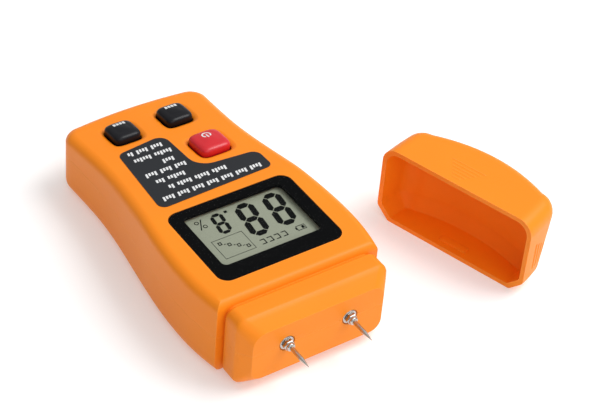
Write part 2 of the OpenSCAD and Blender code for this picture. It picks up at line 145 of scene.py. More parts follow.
def box_object(name, low, high):
    (x0, x1), (y0, y1), (z0, z1) = zip(low, high)
    points = [(x, y, z) for z in (z0, z1) for x, y in ((x0, y0), (x1, y0), (x1, y1), (x0, y1))]
    sides = [(i, (i + 1) % 4, (i + 1) % 4 + 4, i + 4) for i in range(4)]
    return mesh_object(name, points, [(3, 2, 1, 0), (4, 5, 6, 7)] + sides)


def lathe(name, profile, centre, axis="Y", steps=40):
    """A turned shape: profile is a list of (radius, place along the axis)."""
    points, faces = [], []
    for radius, along in profile:
        for k in range(steps):
            a = 2 * math.pi * k / steps
            u, v = radius * math.cos(a), radius * math.sin(a)
            spot = (u, along, v) if axis == "Y" else (u, v, along)
            points.append(Vector(spot) + Vector(centre))
    for r in range(len(profile) - 1):
        for k in range(steps):
            m = (k + 1) % steps
            faces.append((r * steps + k, r * steps + m, (r + 1) * steps + m, (r + 1) * steps + k))
    faces.append(tuple(range(steps)))
    faces.append(tuple((len(profile) - 1) * steps + k for k in range(steps)))
    return mesh_object(name, points, faces)


def bake_modifiers(obj):
    """Puts the result of the object's modifiers into its mesh."""
    graph = bpy.context.evaluated_depsgraph_get()
    result = bpy.data.meshes.new_from_object(obj.evaluated_get(graph))
    obj.modifiers.clear()
    obj.data = result


def combine(obj, others, how):
    """Union or difference with other objects, which are used up."""
    for other in others:
        step = obj.modifiers.new(how, "BOOLEAN")
        step.operation = how
        step.solver = "EXACT"
        step.object = other
        bake_modifiers(obj)
        bpy.data.objects.remove(other)
    return obj


def soften(obj, width, angle=32, segments=2):
    """Rounds the sharp edges and shades the rest smooth, with the normals led by the large faces."""
    for poly in obj.data.polygons:
        poly.use_smooth = True
    bevel = obj.modifiers.new("edges", "BEVEL")
    bevel.width = width * MM
    bevel.segments = segments
    bevel.limit_method = "ANGLE"
    bevel.angle_limit = math.radians(angle)
    bevel.miter_outer = "MITER_ARC"
    weight = obj.modifiers.new("normals", "WEIGHTED_NORMAL")
    weight.keep_sharp = True
    return obj


def smooth_all(obj):
    for poly in obj.data.polygons:
        poly.use_smooth = True
    return obj


def finish_piece(obj, body, material, stands_for=()):
    obj.data.materials.clear()
    obj.data.materials.append(material)
    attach(obj, body)
    if stands_for:
        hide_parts(*stands_for)
    return obj


print("helpers ready")

# %% [markdown]
# ## Shared shader groups
# Moulded plastic is never quite one colour or one gloss. Three small groups hold the effects that several
# finishes share: a fine spark-eroded grain, a slow mottle from the way the melt flowed, and a mask of rubbed
# edges. Each is built once and placed in a material with its own values.

# %% Shader groups
def new_group(name, inputs, outputs):
    group = bpy.data.node_groups.new(name, "ShaderNodeTree")
    for label, value in inputs:
        socket = group.interface.new_socket(name=label, in_out="INPUT", socket_type="NodeSocketFloat")
        socket.default_value = value
    for label in outputs:
        group.interface.new_socket(name=label, in_out="OUTPUT", socket_type="NodeSocketFloat")
    return group, group.nodes.new("NodeGroupInput"), group.nodes.new("NodeGroupOutput")


def math_node(nodes, kind, a=None, b=None, clamp=False):
    node = nodes.new("ShaderNodeMath")
    node.operation = kind
    node.use_clamp = clamp
    if a is not None:
        node.inputs[0].default_value = a
    if b is not None:
        node.inputs[1].default_value = b
    return node


def build_grain_group():
    group, given, result = new_group("moulded_grain", [("Scale", 900.0), ("Roughness", 0.6)], ["Height"])
    coords = group.nodes.new("ShaderNodeTexCoord")
    fine = group.nodes.new("ShaderNodeTexNoise")
    fine.inputs["Detail"].default_value = 4.0
    pits = group.nodes.new("ShaderNodeTexVoronoi")
    half = math_node(group.nodes, "MULTIPLY", b=0.6)
    total = math_node(group.nodes, "MULTIPLY_ADD", b=0.35)
    link = group.links.new
    link(coords.outputs["Object"], fine.inputs["Vector"])
    link(coords.outputs["Object"], pits.inputs["Vector"])
    link(given.outputs["Scale"], fine.inputs["Scale"])
    link(given.outputs["Roughness"], fine.inputs["Roughness"])
    link(given.outputs["Scale"], half.inputs[0])
    link(half.outputs[0], pits.inputs["Scale"])
    link(pits.outputs["Distance"], total.inputs[0])
    link(fine.outputs["Fac"], total.inputs[2])
    link(total.outputs[0], result.inputs["Height"])
    return group


def build_mottle_group():
    group, given, result = new_group("slow_mottle", [("Scale", 30.0), ("Contrast", 0.5)], ["Mask"])
    coords = group.nodes.new("ShaderNodeTexCoord")
    noise = group.nodes.new("ShaderNodeTexNoise")
    noise.inputs["Detail"].default_value = 3.0
    noise.inputs["Distortion"].default_value = 0.4
    centre = math_node(group.nodes, "SUBTRACT", b=0.5)
    widen = math_node(group.nodes, "MULTIPLY")
    back = math_node(group.nodes, "ADD", b=0.5, clamp=True)
    link = group.links.new
    link(coords.outputs["Object"], noise.inputs["Vector"])
    link(given.outputs["Scale"], noise.inputs["Scale"])
    link(noise.outputs["Fac"], centre.inputs[0])
    link(centre.outputs[0], widen.inputs[0])
    link(given.outputs["Contrast"], widen.inputs[1])
    link(widen.outputs[0], back.inputs[0])
    link(back.outputs[0], result.inputs["Mask"])
    return group


def build_edge_group():
    group, given, result = new_group("rubbed_edges", [("Radius", 0.0006), ("Amount", 0.5)], ["Mask"])
    rounded = group.nodes.new("ShaderNodeBevel")
    rounded.samples = 4
    plain = group.nodes.new("ShaderNodeNewGeometry")
    dot = group.nodes.new("ShaderNodeVectorMath")
    dot.operation = "DOT_PRODUCT"
    away = math_node(group.nodes, "SUBTRACT", a=1.0)
    strong = math_node(group.nodes, "MULTIPLY", b=4.0, clamp=True)
    final = math_node(group.nodes, "MULTIPLY", clamp=True)
    link = group.links.new
    link(given.outputs["Radius"], rounded.inputs["Radius"])
    link(rounded.outputs["Normal"], dot.inputs[0])
    link(plain.outputs["Normal"], dot.inputs[1])
    link(dot.outputs["Value"], away.inputs[1])
    link(away.outputs[0], strong.inputs[0])
    link(strong.outputs[0], final.inputs[0])
    link(given.outputs["Amount"], final.inputs[1])
    link(final.outputs[0], result.inputs["Mask"])
    return group


GRAIN = build_grain_group()
MOTTLE = build_mottle_group()
EDGES = build_edge_group()
print("shader groups:", [g.name for g in (GRAIN, MOTTLE, EDGES)])

# %% [markdown]
# ## Finishes
# One function makes every moulded finish: two close colours mixed by the mottle, a lighter rubbed edge, a
# gloss that changes with the mottle, and the grain as a bump. Only the numbers differ between the satin
# orange case, the cap's inside with its painted shade, the soft keys, the printed sticker and the hidden
# mouldings.

# %% Finishes
def new_material(name):
    material = bpy.data.materials.new(name)
    material.use_nodes = True
    nodes = material.node_tree.nodes
    return material, nodes, material.node_tree.links.new, nodes["Principled BSDF"]


def use_group(nodes, group, **values):
    node = nodes.new("ShaderNodeGroup")
    node.node_tree = group
    for label, value in values.items():
        node.inputs[label].default_value = value
    return node


def two_colours(nodes, link, mask, first, second):
    mix = nodes.new("ShaderNodeMix")
    mix.data_type = "RGBA"
    mix.inputs["A"].default_value = (*first, 1)
    mix.inputs["B"].default_value = (*second, 1)
    link(mask, mix.inputs["Factor"])
    return mix


def vary_gloss(nodes, link, mask, shader, low, high):
    rough = nodes.new("ShaderNodeMapRange")
    rough.inputs["To Min"].default_value = low
    rough.inputs["To Max"].default_value = high
    link(mask, rough.inputs["Value"])
    link(rough.outputs["Result"], shader.inputs["Roughness"])


def add_bump(nodes, link, height, shader, strength, distance):
    bumps = nodes.new("ShaderNodeBump")
    bumps.inputs["Strength"].default_value = strength
    bumps.inputs["Distance"].default_value = distance
    link(height, bumps.inputs["Height"])
    link(bumps.outputs["Normal"], shader.inputs["Normal"])


def moulded(name, first, second, edge, gloss=(0.36, 0.46), grain=900.0, bump=0.05, slow=30.0, shine=0.5):
    material, nodes, link, shader = new_material(name)
    mottle = use_group(nodes, MOTTLE, Scale=slow, Contrast=1.6)
    rubbed = use_group(nodes, EDGES, Radius=0.0007, Amount=0.4)
    pores = use_group(nodes, GRAIN, Scale=grain, Roughness=0.6)
    base = two_colours(nodes, link, mottle.outputs["Mask"], first, second)
    worn = nodes.new("ShaderNodeMix")
    worn.data_type = "RGBA"
    worn.inputs["B"].default_value = (*edge, 1)
    link(rubbed.outputs["Mask"], worn.inputs["Factor"])
    link(base.outputs["Result"], worn.inputs["A"])
    link(worn.outputs["Result"], shader.inputs["Base Color"])
    vary_gloss(nodes, link, mottle.outputs["Mask"], shader, *gloss)
    add_bump(nodes, link, pores.outputs["Height"], shader, bump, 0.0002)
    shader.inputs["Specular IOR Level"].default_value = shine
    return material


ORANGE = moulded(
    "orange_case", (0.93, 0.262, 0.011), (0.91, 0.240, 0.008), (1.0, 0.40, 0.07),
    gloss=(0.34, 0.44), grain=1400.0, bump=0.10, shine=0.22,
)
# The cap's inside is a redder copy of the case orange, with darker edges: painted shade and bounce light of
# the hollow, not a different plastic.
CAP_INSIDE_PAINTED_SHADE = moulded(
    "cap_inside_painted_shade", (0.97, 0.265, 0.007), (0.94, 0.240, 0.006), (0.9, 0.20, 0.02),
    gloss=(0.45, 0.6), grain=1400.0, bump=0.10, shine=0.2,
)
RED = moulded(
    "red_key", (0.64, 0.010, 0.020), (0.57, 0.008, 0.016), (0.9, 0.10, 0.10), (0.30, 0.40), 700.0, 0.04
)
BLACK = moulded(
    "black_key", (0.004, 0.004, 0.006), (0.007, 0.007, 0.010), (0.04, 0.04, 0.05),
    gloss=(0.26, 0.38), grain=700.0, bump=0.04, shine=0.22,
)
HIDDEN_BLACK = moulded(
    "black_moulding", (0.020, 0.020, 0.020), (0.035, 0.035, 0.035), (0.08, 0.08, 0.08), (0.5, 0.65)
)
HIDDEN_WHITE = moulded(
    "white_moulding", (0.72, 0.72, 0.70), (0.66, 0.66, 0.63), (0.80, 0.80, 0.78), (0.45, 0.6)
)
SOFT_STRIP = moulded("contact_strip", (0.60, 0.20, 0.32), (0.52, 0.16, 0.27), (0.7, 0.3, 0.4), (0.6, 0.75))
FOAM = moulded("foam", (0.05, 0.05, 0.06), (0.08, 0.08, 0.09), (0.1, 0.1, 0.1), (0.85, 0.95), 500.0, 0.8)
STICKER = moulded(
    "dark_sticker", (0.014, 0.016, 0.019), (0.018, 0.020, 0.024), (0.05, 0.05, 0.06),
    gloss=(0.34, 0.46), grain=1800.0, bump=0.06, shine=0.22,
)
PRINT = moulded(
    "white_print", (0.80, 0.80, 0.80), (0.68, 0.69, 0.70), (0.85, 0.85, 0.85), (0.4, 0.5), slow=300.0
)
BORDER = moulded(
    "black_border", (0.0012, 0.0012, 0.0015), (0.0022, 0.0022, 0.0025), (0.006, 0.006, 0.006),
    gloss=(0.10, 0.16), grain=300.0, bump=0.005, shine=0.02,
)
print("moulded finishes made")

# %% [markdown]
# Metals are different: their colour hardly changes, and what the eye reads is the direction of the grinding.
# A noise that is stretched along the pin gives the fine lines of a drawn and ground needle. The display glass
# gets a faint speckle under its polariser, and the window in front of it is nearly clear.

# %% Metals, glass and boards
def metal(name, bright, dull, gloss, stretch, scale, bump):
    material, nodes, link, shader = new_material(name)
    coords = nodes.new("ShaderNodeTexCoord")
    mapping = nodes.new("ShaderNodeMapping")
    mapping.inputs["Scale"].default_value = stretch
    lines = nodes.new("ShaderNodeTexNoise")
    lines.inputs["Scale"].default_value = scale
    lines.inputs["Detail"].default_value = 5.0
    link(coords.outputs["Object"], mapping.inputs["Vector"])
    link(mapping.outputs["Vector"], lines.inputs["Vector"])
    mix = two_colours(nodes, link, lines.outputs["Fac"], bright, dull)
    link(mix.outputs["Result"], shader.inputs["Base Color"])
    vary_gloss(nodes, link, lines.outputs["Fac"], shader, *gloss)
    add_bump(nodes, link, lines.outputs["Fac"], shader, bump, 0.0001)
    shader.inputs["Metallic"].default_value = 1.0
    return material


NEEDLE = metal(
    "needle_steel", (0.70, 0.66, 0.60), (0.42, 0.39, 0.36), (0.16, 0.34), (1, 0.15, 1), 2500.0, 0.15
)
NICKEL = metal("bright_nickel", (0.62, 0.60, 0.57), (0.40, 0.38, 0.36), (0.10, 0.26), (1, 1, 1), 1500.0, 0.08)
BRASS = metal("turned_brass", (0.82, 0.60, 0.24), (0.60, 0.42, 0.16), (0.2, 0.35), (1, 0.2, 1), 1800.0, 0.1)
ZINC = metal("zinc_steel", (0.66, 0.67, 0.68), (0.48, 0.49, 0.50), (0.25, 0.42), (1, 1, 1), 900.0, 0.1)


def build_display_glass():
    material, nodes, link, shader = new_material("display_glass")
    speckle = use_group(nodes, GRAIN, Scale=2600.0, Roughness=0.7)
    mottle = use_group(nodes, MOTTLE, Scale=45.0, Contrast=1.2)
    mix = two_colours(nodes, link, mottle.outputs["Mask"], (0.330, 0.355, 0.265), (0.295, 0.318, 0.235))
    link(mix.outputs["Result"], shader.inputs["Base Color"])
    vary_gloss(nodes, link, speckle.outputs["Height"], shader, 0.28, 0.42)
    return material


def build_ink():
    material, nodes, link, shader = new_material("display_ink")
    mottle = use_group(nodes, MOTTLE, Scale=400.0, Contrast=1.0)
    mix = two_colours(nodes, link, mottle.outputs["Mask"], (0.0015, 0.0018, 0.0015), (0.003, 0.0035, 0.003))
    link(mix.outputs["Result"], shader.inputs["Base Color"])
    shader.inputs["Roughness"].default_value = 0.5
    shader.inputs["Specular IOR Level"].default_value = 0.03
    return material


def build_window():
    material, nodes, link, shader = new_material("clear_window")
    mottle = use_group(nodes, MOTTLE, Scale=60.0, Contrast=1.0)
    mix = two_colours(nodes, link, mottle.outputs["Mask"], (0.04, 0.045, 0.045), (0.05, 0.055, 0.055))
    link(mix.outputs["Result"], shader.inputs["Base Color"])
    shader.inputs["Roughness"].default_value = 0.05
    shader.inputs["Specular IOR Level"].default_value = 0.15
    shader.inputs["Alpha"].default_value = 0.045
    return material


def build_board():
    material, nodes, link, shader = new_material("circuit_board")
    coords = nodes.new("ShaderNodeTexCoord")
    tracks = nodes.new("ShaderNodeTexBrick")
    tracks.inputs["Scale"].default_value = 260.0
    tracks.inputs["Mortar Size"].default_value = 0.03
    tracks.inputs["Color1"].default_value = (0.010, 0.085, 0.035, 1)
    tracks.inputs["Color2"].default_value = (0.014, 0.110, 0.045, 1)
    tracks.inputs["Mortar"].default_value = (0.035, 0.200, 0.080, 1)
    link(coords.outputs["Object"], tracks.inputs["Vector"])
    link(tracks.outputs["Color"], shader.inputs["Base Color"])
    add_bump(nodes, link, tracks.outputs["Fac"], shader, 0.3, 0.0001)
    shader.inputs["Roughness"].default_value = 0.3
    return material


def build_battery_wrap():
    material, nodes, link, shader = new_material("battery_wrap")
    coords = nodes.new("ShaderNodeTexCoord")
    split = nodes.new("ShaderNodeSeparateXYZ")
    link(coords.outputs["Object"], split.inputs["Vector"])
    band = nodes.new("ShaderNodeMath")
    band.operation = "GREATER_THAN"
    band.inputs[1].default_value = 0.004
    link(split.outputs["Y"], band.inputs[0])
    mix = two_colours(nodes, link, band.outputs[0], (0.035, 0.040, 0.055), (0.62, 0.47, 0.20))
    link(mix.outputs["Result"], shader.inputs["Base Color"])
    mottle = use_group(nodes, MOTTLE, Scale=200.0, Contrast=1.0)
    vary_gloss(nodes, link, mottle.outputs["Mask"], shader, 0.22, 0.36)
    shader.inputs["Metallic"].default_value = 0.6
    return material


GLASS = build_display_glass()
INK = build_ink()
WINDOW = build_window()
BOARD = build_board()
BATTERY_WRAP = build_battery_wrap()
WIRE = moulded("wire_cover", (0.45, 0.02, 0.02), (0.36, 0.015, 0.015), (0.5, 0.1, 0.1), (0.35, 0.5))
print("materials:", len(bpy.data.materials))

# %% [markdown]
# ## The case
# The two covers are one pebble-like form that is split along a line at the height of the pins. The plan has a
# waist at the handle, broad shoulders at the display and a slightly bowed far end. The face is level over the
# display and slopes down over the handle. A loft through rounded rings gives this form with soft edges that a
# bevel tool could not make as even, because the rounding is much wider on the face than at the front step.

# %% Plan of the case
def smooth_step(t):
    c = max(0.0, min(1.0, t))
    return c * c * (3 - 2 * c)


def face_z(y):
    """Height of the face, with the change of slope eased over a few millimetres."""
    ease = 2.5
    t = Y_BREAK - y
    if t <= -ease:
        return BODY_T
    if t < ease:
        return BODY_T - FACE_SLOPE * (t + ease) ** 2 / (4 * ease)
    return BODY_T - FACE_SLOPE * t


WAIST_Y, WAIST_LEN = -28, 60
SHOULDER_Y, SHOULDER_IN = 34, 2.2
FLARE_Y = -25


def half_w(y):
    head = HEAD_EXTRA * smooth_step((y - WAIST_Y) / WAIST_LEN)
    shoulder = SHOULDER_IN * max(0.0, (y - SHOULDER_Y) / (Y_FRONT - SHOULDER_Y)) ** 2
    flare = max(0.0, (FLARE_Y - y) / (FLARE_Y - Y_FAR)) ** 2
    return HANDLE_HALF + head - shoulder + flare


FAR_R = 6.5
FAR_SAG = 1.3
SIDE_STEPS = 44


def both_sides(half):
    return half + [(-x, y) for x, y in reversed(half)]


def body_plan(d, f):
    """Outline of the case, moved in by d at the sides and by f at the front."""
    corner_y = Y_FAR + FAR_R + FAR_SAG
    corner_x = half_w(corner_y) - FAR_R
    y0 = Y_FRONT - f
    half = []
    for i in range(SIDE_STEPS + 1):
        y = y0 + (corner_y - y0) * i / SIDE_STEPS
        half.append((half_w(y) - d, y))
    for i in range(1, 9):
        a = math.radians(90 * i / 8)
        half.append((corner_x + (FAR_R - d) * math.cos(a), corner_y - (FAR_R - d) * math.sin(a)))
    for i in range(1, 6):
        x = corner_x * (1 - i / 5.5)
        half.append((x, Y_FAR + FAR_SAG + d - FAR_SAG * (1 - (x / corner_x) ** 2)))
    return both_sides(half)


def at_height(plan, z):
    return [(x, y, z) for x, y in plan]


def under_face(plan, drop):
    return [(x, y, face_z(y) - drop) for x, y in plan]


BEVEL_W, BEVEL_H, BACK_R = 3.6, 3.1, 4.6
FRONT_SOFT = 0.72


def case_body():
    rings = []
    steps = 9
    for k in range(steps + 1):
        a = math.radians(90 * k / steps)
        d = BACK_R * (1 - math.sin(a))
        rings.append(at_height(body_plan(d, 0.3 * d), BACK_R * (1 - math.cos(a))))
    rings.append(at_height(body_plan(0, 0), SPLIT_Z - 4))
    rings.append(at_height(body_plan(0, 0), SPLIT_Z + 3))
    for k in range(steps, -1, -1):
        a = math.radians(90 * k / steps)
        d = BEVEL_W * (1 - math.sin(a))
        rings.append(under_face(body_plan(d, FRONT_SOFT * d), BEVEL_H * (1 - math.cos(a))))
    return loft("case_body", rings)


body_shape = case_body()
print("case body:", len(body_shape.data.polygons), "faces")

# %% [markdown]
# The neck in front of the step is a block with wide, flat bevels that are softened where they meet. It is
# lofted along the length: each ring is a rounded rectangle, and the rings shrink towards the front. Close to
# the step it is thinner, which leaves the soft dark groove that runs all round behind the cap's seat.

# %% Neck
NECK_HALF = 27.4
NECK_DROP = 1.3
NECK_FRONT = 4.8
NECK_CORNER = 3.9
NECK_GROOVE = 1.1


def rounded_section(half_x, low, high, top_r, low_r, y):
    """A rectangle across the case with wide soft corners, as points round the Y axis."""
    half = []
    steps = 6
    for i in range(steps + 1):
        a = math.radians(90 - 90 * i / steps)
        half.append((half_x - top_r + top_r * math.cos(a), high - top_r + top_r * math.sin(a)))
    for i in range(steps + 1):
        a = math.radians(-90 * i / steps)
        half.append((half_x - low_r + low_r * math.cos(a), low + low_r + low_r * math.sin(a)))
    return [(x, y, z) for x, z in half] + [(-x, y, z) for x, z in reversed(half)]


def neck_shape(gap=0.0, y_start=None):
    high = BODY_T - NECK_DROP - gap
    low = NECK_DROP + gap
    half_x = NECK_HALF - gap
    front = NECK_Y - gap
    start = Y_FRONT - 1 if y_start is None else y_start
    groove = NECK_GROOVE if gap == 0 else 0.0
    rings = []
    for depth, top_r, y in (
        (1.0, 3.4, start), (1.0, 3.4, Y_FRONT + 0.35), (0.7, 3.5, Y_FRONT + 0.75), (0.2, 3.6, Y_FRONT + 1.25),
        (0.0, 3.6, Y_FRONT + 1.9), (0.0, 3.6, front - NECK_FRONT - 0.9),
    ):
        g = depth * groove
        rings.append(rounded_section(half_x - g, low + g, high - g, top_r, 3.0, y))
    for t in (0.0, 0.12, 0.3, 0.5, 0.7, 0.88, 1.0):
        lead = 0.9 * (1 - t) ** 6
        inset = t + 0.045 * math.sin(math.pi * t)
        y = front - NECK_FRONT * (1 - t) + 0.25 * math.sin(math.pi * t) - lead * 0.2
        dx = NECK_CORNER * max(0.0, inset - 0.10)
        dz = (NECK_FRONT - 0.2) * max(0.0, inset - 0.10)
        radius = 3.6 + 1.0 * t
        rings.append(rounded_section(half_x - dx, low + dz * 0.8, high - dz, radius, 3.0 + t, y))
    return loft("neck", rings)


case_shape = combine(body_shape, [neck_shape()], "UNION")
print("case with neck:", len(case_shape.data.polygons), "faces")

# %% [markdown]
# ## Hollowing and splitting
# Inside, the case is a thin shell. A smaller form of the same kind is taken away, and the result is cut in
# two at the parting line. The openings for the window, the keys, the sockets and the battery door are cut
# last, and every new edge gets a small round, as a mould would leave it.

# %% Shells
def cavity():
    rings = [
        at_height(body_plan(WALL + 2.6, WALL), WALL),
        at_height(body_plan(WALL, WALL), WALL + 3.2),
        at_height(body_plan(WALL, WALL), SPLIT_Z),
        under_face(body_plan(WALL, WALL), WALL + 2.2),
        under_face(body_plan(WALL + 2, WALL), WALL),
    ]
    return loft("cavity", rings)


def rounded_rect(half_x, half_y, r, steps=8):
    quarter = []
    for q, (sx, sy) in enumerate(((1, 1), (-1, 1), (-1, -1), (1, -1))):
        for i in range(steps + 1):
            a = math.radians(90 * (q + i / steps))
            quarter.append((sx * (half_x - r) + r * math.cos(a), sy * (half_y - r) + r * math.sin(a)))
    return quarter


def prism(name, outline, z0, z1, centre=(0, 0), place=None):
    n = len(outline)
    points = [(x + centre[0], y + centre[1], z) for z in (z0, z1) for x, y in outline]
    faces = [(i, (i + 1) % n, (i + 1) % n + n, i + n) for i in range(n)]
    faces += [tuple(range(n)), tuple(range(n, 2 * n))]
    return mesh_object(name, points, faces, place)


def squircle(half, power, steps=48):
    def bent(v):
        return half * math.copysign(abs(v) ** (2 / power), v)

    angles = [2 * math.pi * (k + 0.5) / steps + math.pi / 2 for k in range(steps)]
    return [(bent(math.cos(a)), bent(math.sin(a))) for a in angles]


def on_face(at):
    """Matrix, in millimetres, of a place on the sloped face with Z along its normal."""
    return Matrix.Translation((at[0], at[1], face_z(at[1]))) @ Matrix.Rotation(TILT, 4, "X")


KEYS = {
    "power": {"at": middle("power_button"), "half": 5.6, "high": 2.6, "finish": RED, "slot": "red_button"},
    "mode": {"at": middle("mode_button"), "half": 4.95, "high": 2.6, "finish": BLACK, "slot": "black_button"},
    "hold": {"at": middle("hold_button"), "half": 4.95, "high": 2.6, "finish": BLACK, "slot": "black_button"},
}


def key_opening(key):
    """A soft dish in the face with the hole for the key in its middle."""
    h = key["half"]
    profile = [(-5.0, 0.30, 5.0), (-0.95, 0.32, 5.0), (-0.70, 0.55, 4.8), (-0.45, 0.95, 4.6)]
    profile += [(-0.22, 1.35, 4.4), (-0.06, 1.80, 4.2), (0.05, 2.30, 4.0), (1.5, 2.6, 4.0)]
    rings = [[(x, y, z) for x, y in squircle(h + grow, power)] for z, grow, power in profile]
    return loft("key_opening", rings, on_face(key["at"]))


lens_low, lens_high = corners("display_lens")
lens_mid = (lens_low + lens_high) / 2
LENS_HALF = ((lens_high.x - lens_low.x) / 2, (lens_high.y - lens_low.y) / 2)
WINDOW_R = 4.0
VIEW_HALF = (18.1, 12.35)
VIEW_MID = lens_mid.y - 1.45
VIEW_R = 1.8
border_low = corners("window_border")[0]


def window_cutters():
    outline = rounded_rect(LENS_HALF[0] + 0.12, LENS_HALF[1] + 0.12, WINDOW_R)
    pocket = prism("pocket", outline, border_low.z, BODY_T + 3, (0, lens_mid.y))
    inner = rounded_rect(VIEW_HALF[0] + 1, VIEW_HALF[1] + 1, VIEW_R)
    hole = prism("hole", inner, BODY_T - 5, BODY_T + 3, (0, VIEW_MID))
    return [pocket, hole]


def socket_cutters():
    cutters = []
    for side in (-1, 1):
        centre = (side * abs(PIN_X), 0, SPLIT_Z)
        recess = [(2.7, NECK_Y - 0.6), (2.75, NECK_Y - 0.3), (3.1, NECK_Y + 1)]
        cutters.append(lathe("recess", recess, centre))
        cutters.append(lathe("bore", [(1.4, Y_FRONT + 2), (1.4, NECK_Y + 1)], centre))
    return cutters


shell = combine(case_shape, [cavity(), neck_shape(WALL, Y_FRONT - 3)], "DIFFERENCE")
rear_shell = new_object("rear_shell", shell.data.copy())
shell.name = "front_shell"
FAR = 80
combine(shell, [box_object("below", (-FAR, -FAR, -FAR), (FAR, FAR, SPLIT_Z + 0.03))], "DIFFERENCE")
combine(rear_shell, [box_object("above", (-FAR, -FAR, SPLIT_Z - 0.03), (FAR, FAR, FAR))], "DIFFERENCE")
combine(shell, window_cutters() + [key_opening(k) for k in KEYS.values()] + socket_cutters(), "DIFFERENCE")
print("front shell:", len(shell.data.polygons), "faces; rear shell:", len(rear_shell.data.polygons))

# %% [markdown]
# ## The back
# The rear cover holds four screw posts and a sliding door. The posts are short tubes whose lower ends are
# wide enough for a screw head. The door is cut from the same loft as the case, so its far end follows the
# round of the shell, and a stack of shorter and shorter grooves gives the thumb something to push.

# %% Rear shell and battery door
DOOR_HALF = corners("battery_door")[1].x
DOOR_EDGE = corners("battery_door")[1].y
DOOR_T = corners("battery_door")[1].z
HEAD_T = 1.8
DOOR_GAP = 0.2
SCREWS = [(24.5, 46.6), (-24.5, 46.6), (20.3, -45.6), (-20.3, -45.6)]
SCREW_Z = corners("case_screws")[0].z


def joined(name, objects):
    """One object from several, whose meshes are simply put together."""
    bm = bmesh.new()
    for obj in objects:
        bm.from_mesh(obj.data)
        bpy.data.objects.remove(obj)
    mesh = bpy.data.meshes.new(name)
    bm.to_mesh(mesh)
    bm.free()
    return new_object(name, mesh)


posts = [lathe("post", [(3.0, 0.6), (3.0, SPLIT_Z - 0.2)], (x, y, 0), "Z") for x, y in SCREWS]
combine(rear_shell, [joined("posts", posts)], "UNION")
head_z = SCREW_Z + HEAD_T
sink = [(2.5, -1), (2.5, head_z), (1.3, head_z), (1.3, SPLIT_Z + 1)]
sinks = [lathe("sink", sink, (x, y, 0), "Z") for x, y in SCREWS]
PAST_END = Y_FAR - 5
edge_y = DOOR_EDGE + DOOR_GAP
channel = box_object("channel", (-DOOR_HALF + 0.9, PAST_END, -1), (DOOR_HALF - 0.9, edge_y, WALL + 1))
ledges = box_object("ledges", (-DOOR_HALF - 0.3, PAST_END, 0.8), (DOOR_HALF + 0.3, edge_y, WALL + 0.01))
combine(rear_shell, [joined("sinks", sinks), channel, ledges] + socket_cutters(), "DIFFERENCE")

door = box_object("sliding_door", (-DOOR_HALF, PAST_END, 1.0), (DOOR_HALF, DOOR_EDGE, DOOR_T))
outer = box_object("outer", (-DOOR_HALF + 1.2, PAST_END, -0.5), (DOOR_HALF - 1.2, DOOR_EDGE, 1.2))
combine(door, [outer], "UNION")
combine(door, [case_body()], "INTERSECT")
grips = [box_object("grip", (-6 + i, -34 + 3 * i, -1), (6 - i, -32.8 + 3 * i, 0.5)) for i in range(5)]
combine(door, [joined("grips", grips)], "DIFFERENCE")
print("rear shell:", len(rear_shell.data.polygons), "faces; door:", len(door.data.polygons))

battery_low, battery_high = corners("battery")
bay_x = battery_high.x + 0.5
bay_walls = joined("bay_walls", [
    box_object("wall", (bay_x, battery_low.y - 1.6, WALL - 0.1), (bay_x + 1.2, battery_high.y, WALL + 12)),
    box_object("wall", (-bay_x - 1.2, battery_low.y - 1.6, WALL - 0.1), (-bay_x, battery_high.y, WALL + 12)),
    box_object("wall", (-bay_x, battery_low.y - 1.6, WALL + 0.2), (bay_x, battery_low.y - 0.4, WALL + 12)),
])

finish_piece(soften(shell, 0.22), "meter", ORANGE, ["front_cover"])
finish_piece(soften(rear_shell, 0.22), "meter", ORANGE, ["rear_cover"])
finish_piece(soften(bay_walls, 0.2), "meter", ORANGE)
finish_piece(soften(door, 0.15), "door", ORANGE, ["battery_door"])


def cross_screw(x, y, low):
    """The head of a cross-recess screw that is driven from below, and its shank."""
    top = low + HEAD_T
    profile = [(1.1, low + 12), (1.1, top), (2.2, top), (2.2, low + 0.7), (1.9, low + 0.25), (1.2, low)]
    screw = lathe("screw", profile, (x, y, 0), "Z", 32)
    bars = [
        box_object("bar", (x - 1.1, y - 0.25, low - 1), (x + 1.1, y + 0.25, low + 0.9)),
        box_object("bar", (x - 0.25, y - 1.1, low - 1), (x + 0.25, y + 1.1, low + 0.9)),
    ]
    return combine(screw, bars, "DIFFERENCE")


screws = joined("back_screws", [cross_screw(x, y, SCREW_Z) for x, y in SCREWS])
finish_piece(soften(screws, 0.08), "meter", ZINC, ["case_screws"])
print("screws:", len(SCREWS))

# %% [markdown]
# ## The keys
# A soft key is a small pillow: a squarish foot, sides that lean in and a crown that is almost flat. Rings
# that follow a superellipse give the squarish outline without corners. The white symbols are thin prints, so
# they are cut as flat shapes and dropped onto the key by casting a ray down at every one of their points.

# %% Keys and their symbols
def key_shape(name, key):
    h, top = key["half"], key["high"]
    edge = 2.5
    rings = [(-2.2, h, 5.0), (0.3, h, 5.0)]
    for k in range(8):
        a = math.radians(90 * k / 7)
        z = 0.55 + (top - 0.9) * math.sin(a) ** 0.9
        rings.append((z, h - edge * (1 - math.cos(a)) ** 1.15, 5.0 - 1.2 * k / 7))
    flat = h - edge
    for scale in (0.85, 0.65, 0.42, 0.2, 0.05):
        rings.append((top - 0.35 + 0.33 * (1 - scale ** 2), flat * scale, 3.6 - 0.8 * (1 - scale)))
    made = [[(x, y, z) for x, y in squircle(size, power)] for z, size, power in rings]
    return loft(name, made, on_face(key["at"]))


